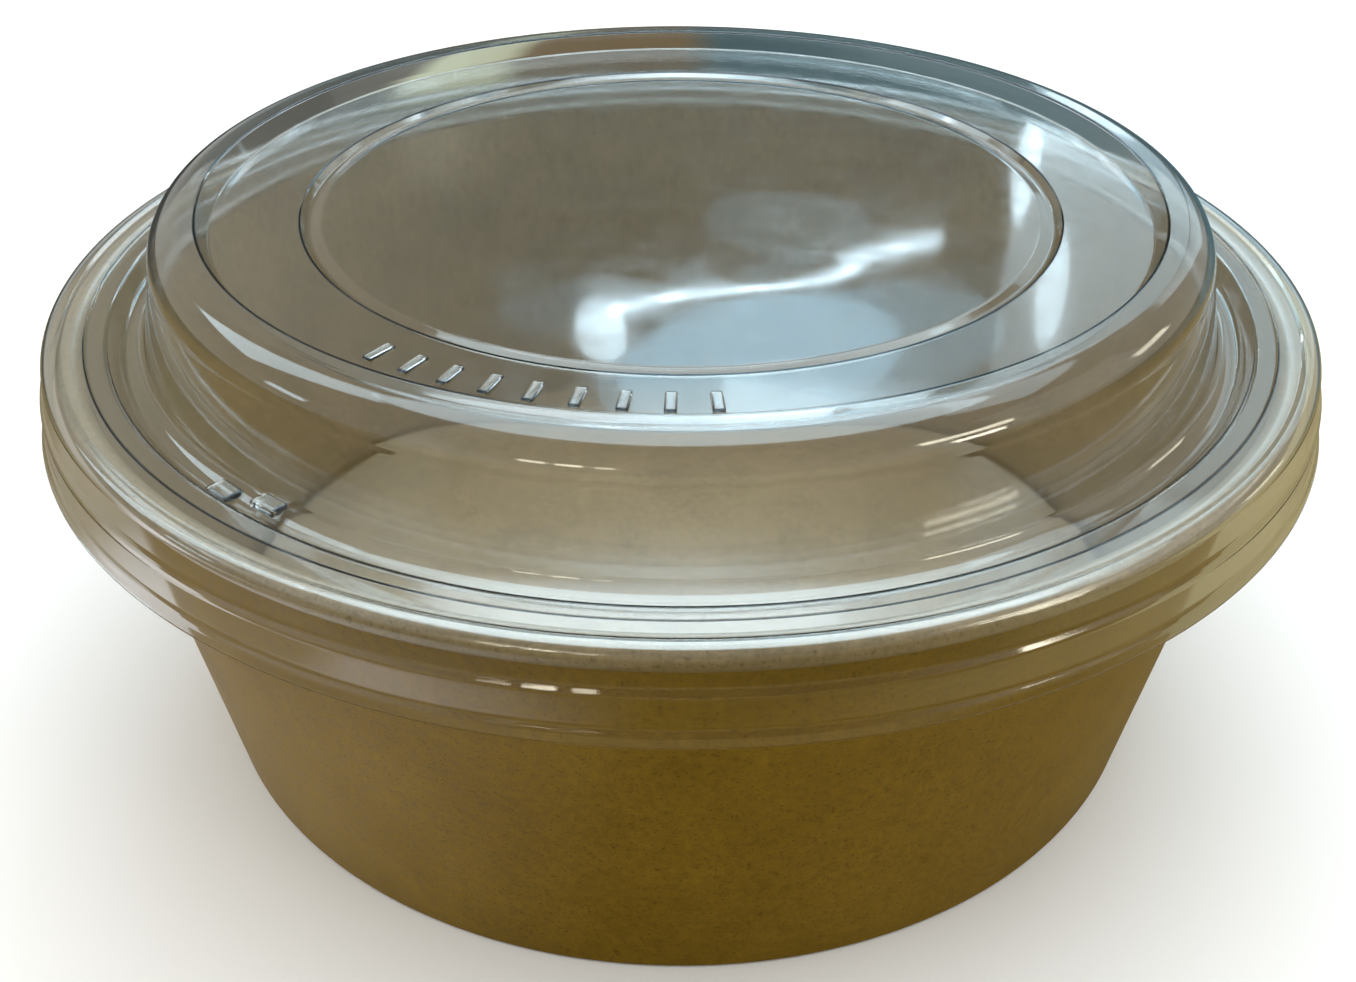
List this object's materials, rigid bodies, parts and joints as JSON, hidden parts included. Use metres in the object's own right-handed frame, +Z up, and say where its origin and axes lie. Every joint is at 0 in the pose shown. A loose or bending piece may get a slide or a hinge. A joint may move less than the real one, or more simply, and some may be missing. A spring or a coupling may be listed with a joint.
{
  "type": "lidded paper food bowl",
  "caption": "Round kraft-paper takeaway bowl with a rolled rim and recessed floor, closed by a clear domed lid with a raised bead, a flat flange and a push-on skirt.",
  "frame": {"origin": "centre of the foot, on the surface the bowl stands on", "axes": "+Z up along the turned axis, from the foot to the lid; -Y towards the front of the picture"},
  "size_m": [0.1596, 0.1596, 0.0703],
  "materials": {
    "kraft_board": "matt brown kraft board with a thin clear coating",
    "clear_sheet": "clear, glossy thermoformed sheet"
  },
  "bodies": {
    "root": {"bowl_wall": "kraft_board", "bowl_floor": "kraft_board", "lid": "clear_sheet"}
  },
  "joints": []
}
